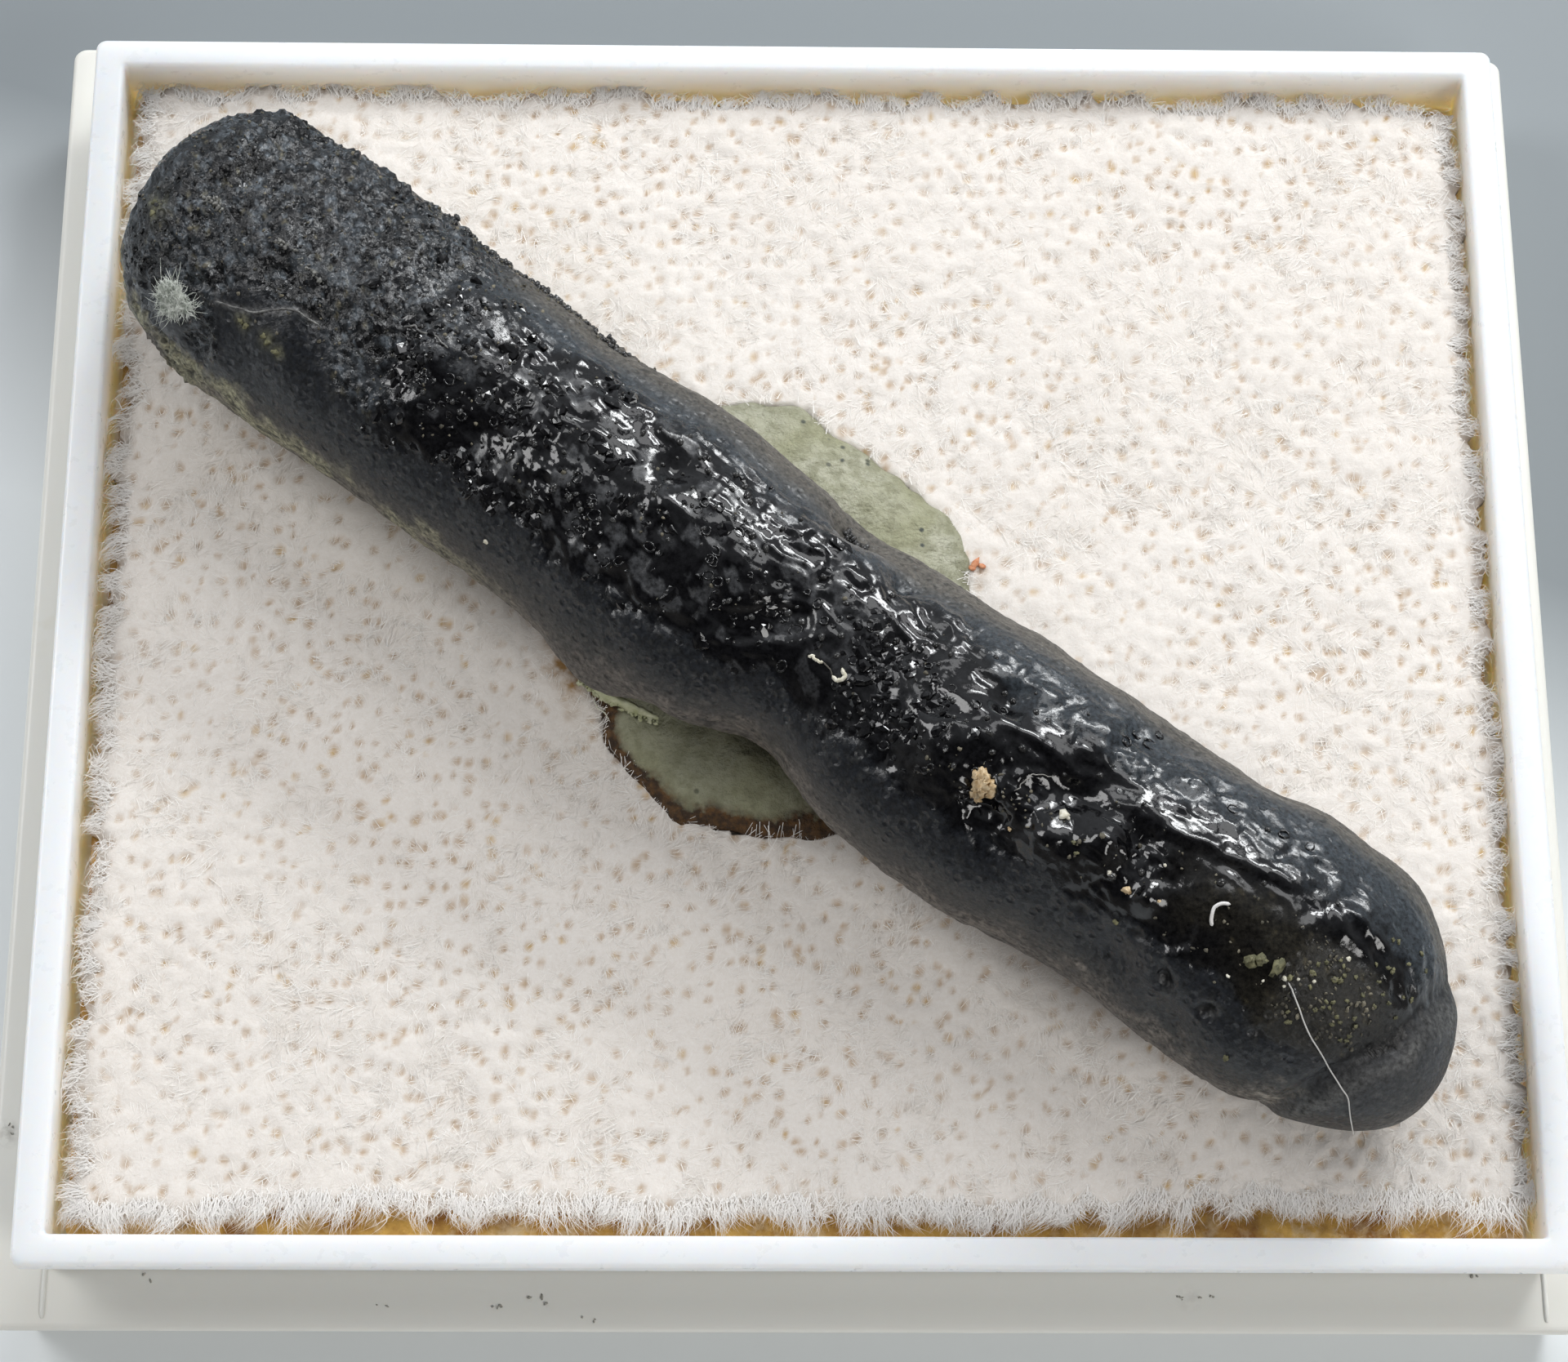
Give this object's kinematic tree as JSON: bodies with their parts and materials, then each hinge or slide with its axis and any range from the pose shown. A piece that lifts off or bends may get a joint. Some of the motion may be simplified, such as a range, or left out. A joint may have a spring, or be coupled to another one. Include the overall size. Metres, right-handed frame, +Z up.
{
  "type": "bitumen specimen",
  "caption": "Finger of natural bitumen held by putty on a pile-fabric pad in a small open white specimen box.",
  "frame": {"origin": "middle of the underside of the box base, the centre of the whole object's footprint", "axes": "+Z up; +X along the box's wider side, towards the lipped end of the bitumen; +Y towards the side away from the wide front ledge"},
  "size_m": [0.0448, 0.0404, 0.0126],
  "materials": {
    "base_plastic": "smooth cream moulded plastic",
    "tray_plastic": "smooth white moulded plastic, faintly translucent",
    "adhesive": "amber tacky film",
    "pile_fabric": "white knitted pile with small open stitches",
    "putty": "dull grey-green putty with dark specks",
    "bitumen": "black, glossy and pebbly in the middle, dull and granular at one end"
  },
  "bodies": {
    "root": {"box_base": "base_plastic", "tray": "tray_plastic", "adhesive_backing": "adhesive", "pile_pad": "pile_fabric", "putty": "putty", "bitumen": "bitumen"}
  },
  "joints": []
}
